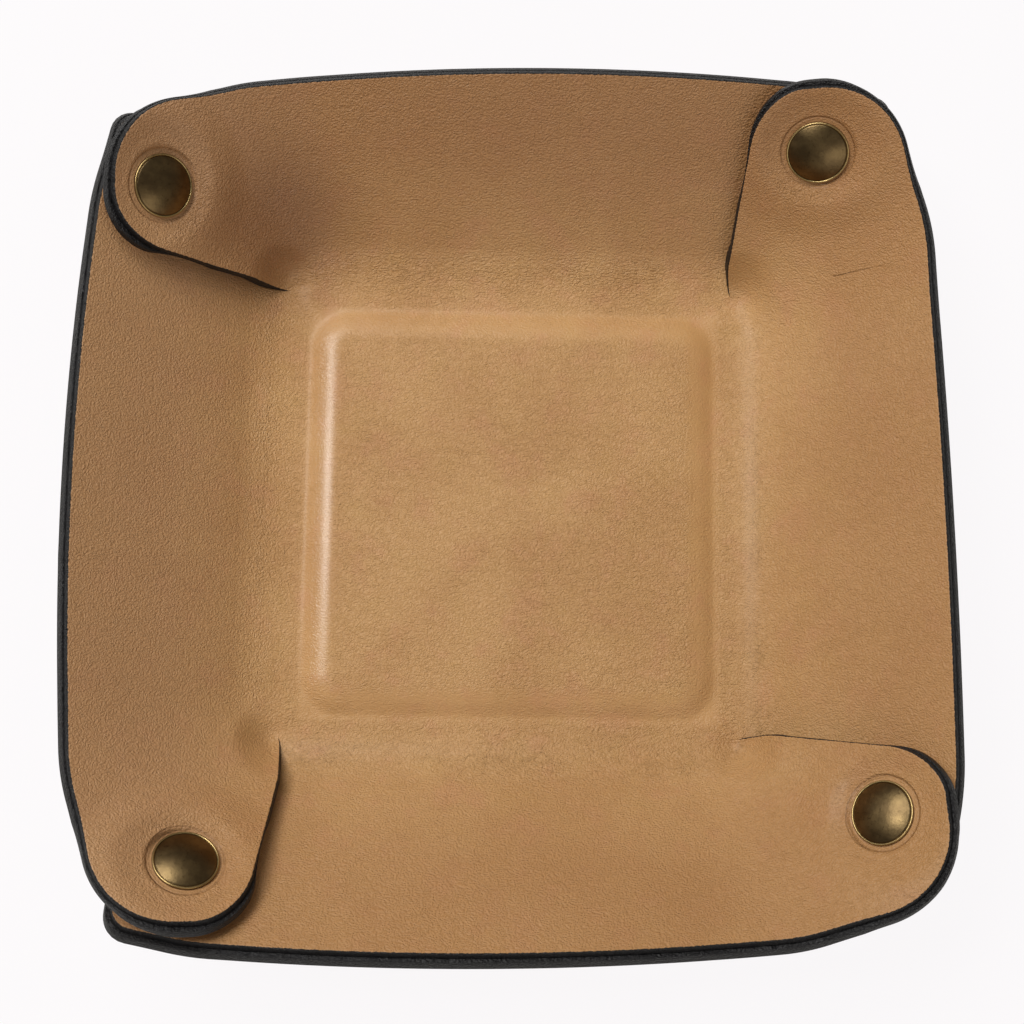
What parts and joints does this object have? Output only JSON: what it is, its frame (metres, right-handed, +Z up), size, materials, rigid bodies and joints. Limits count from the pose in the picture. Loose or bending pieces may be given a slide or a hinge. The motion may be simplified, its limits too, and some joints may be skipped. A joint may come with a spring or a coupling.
{
  "type": "valet tray",
  "caption": "Square leather valet tray whose walls fold up from a padded floor and are held by domed snaps on lapped corner lobes; opens out flat.",
  "frame": {"origin": "centre of the underside, on the surface that the tray rests on", "axes": "+Z up; +Y towards the back wall, which is the top of the picture; +X towards the right wall"},
  "size_m": [0.206, 0.206, 0.0461],
  "materials": {
    "lining_leather": "natural vegetable-tanned leather, fine grain, satin",
    "outer_leather": "natural vegetable-tanned leather with dark painted cut edges",
    "stiffener_board": "plain grey-brown pulp board",
    "snap_brass": "antique brass, domed, satin, worn brighter on the crown",
    "spring_wire": "bare spring wire"
  },
  "bodies": {
    "base": {"base_lining": "lining_leather", "base_outer": "outer_leather", "base_board": "stiffener_board"},
    "wall_back": {"wall_back_lining": "lining_leather", "wall_back_outer": "outer_leather", "stud_back": "snap_brass", "post_back": "snap_brass"},
    "lobe_back": {"lobe_back_lining": "lining_leather", "lobe_back_outer": "outer_leather", "cap_back": "snap_brass", "socket_back": "snap_brass", "socket_spring_back": "spring_wire"},
    "wall_left": {"wall_left_lining": "lining_leather", "wall_left_outer": "outer_leather", "stud_left": "snap_brass", "post_left": "snap_brass"},
    "lobe_left": {"lobe_left_lining": "lining_leather", "lobe_left_outer": "outer_leather", "cap_left": "snap_brass", "socket_left": "snap_brass", "socket_spring_left": "spring_wire"},
    "wall_front": {"wall_front_lining": "lining_leather", "wall_front_outer": "outer_leather", "stud_front": "snap_brass", "post_front": "snap_brass"},
    "lobe_front": {"lobe_front_lining": "lining_leather", "lobe_front_outer": "outer_leather", "cap_front": "snap_brass", "socket_front": "snap_brass", "socket_spring_front": "spring_wire"},
    "wall_right": {"wall_right_lining": "lining_leather", "wall_right_outer": "outer_leather", "stud_right": "snap_brass", "post_right": "snap_brass"},
    "lobe_right": {"lobe_right_lining": "lining_leather", "lobe_right_outer": "outer_leather", "cap_right": "snap_brass", "socket_right": "snap_brass", "socket_spring_right": "spring_wire"}
  },
  "joints": [
    {"name": "fold_back", "type": "hinge", "parent": "base", "child": "wall_back", "pos_m": [0, 0.06167, 0.0017], "axis": [1, 0, 0], "range_deg": [-42, 0]},
    {"name": "fold_left", "type": "hinge", "parent": "base", "child": "wall_left", "pos_m": [-0.06167, 0, 0.0017], "axis": [0, 1, 0], "range_deg": [-42, 0]},
    {"name": "fold_front", "type": "hinge", "parent": "base", "child": "wall_front", "pos_m": [0, -0.06167, 0.0017], "axis": [-1, 0, 0], "range_deg": [-42, 0]},
    {"name": "fold_right", "type": "hinge", "parent": "base", "child": "wall_right", "pos_m": [0.06167, 0, 0.0017], "axis": [0, -1, 0], "range_deg": [-42, 0]},
    {"name": "unsnap_back", "type": "hinge", "parent": "wall_back", "child": "lobe_back", "pos_m": [-0.0587, 0.0568, 0.00893], "axis": [0, 0.8106, 0.5856], "range_deg": [0, 30], "stiffness_Nm_per_rad": 0.05},
    {"name": "unsnap_left", "type": "hinge", "parent": "wall_left", "child": "lobe_left", "pos_m": [-0.0568, -0.0587, 0.00893], "axis": [-0.8106, 0, 0.5856], "range_deg": [0, 30], "stiffness_Nm_per_rad": 0.05},
    {"name": "unsnap_front", "type": "hinge", "parent": "wall_front", "child": "lobe_front", "pos_m": [0.0587, -0.0568, 0.00893], "axis": [0, -0.8106, 0.5856], "range_deg": [0, 30], "stiffness_Nm_per_rad": 0.05},
    {"name": "unsnap_right", "type": "hinge", "parent": "wall_right", "child": "lobe_right", "pos_m": [0.0568, 0.0587, 0.00893], "axis": [0.8106, 0, 0.5856], "range_deg": [0, 30], "stiffness_Nm_per_rad": 0.05}
  ],
  "couplings": [
    {"joint": "fold_left", "follows": "fold_back", "ratio": 1},
    {"joint": "fold_front", "follows": "fold_back", "ratio": 1},
    {"joint": "fold_right", "follows": "fold_back", "ratio": 1}
  ]
}
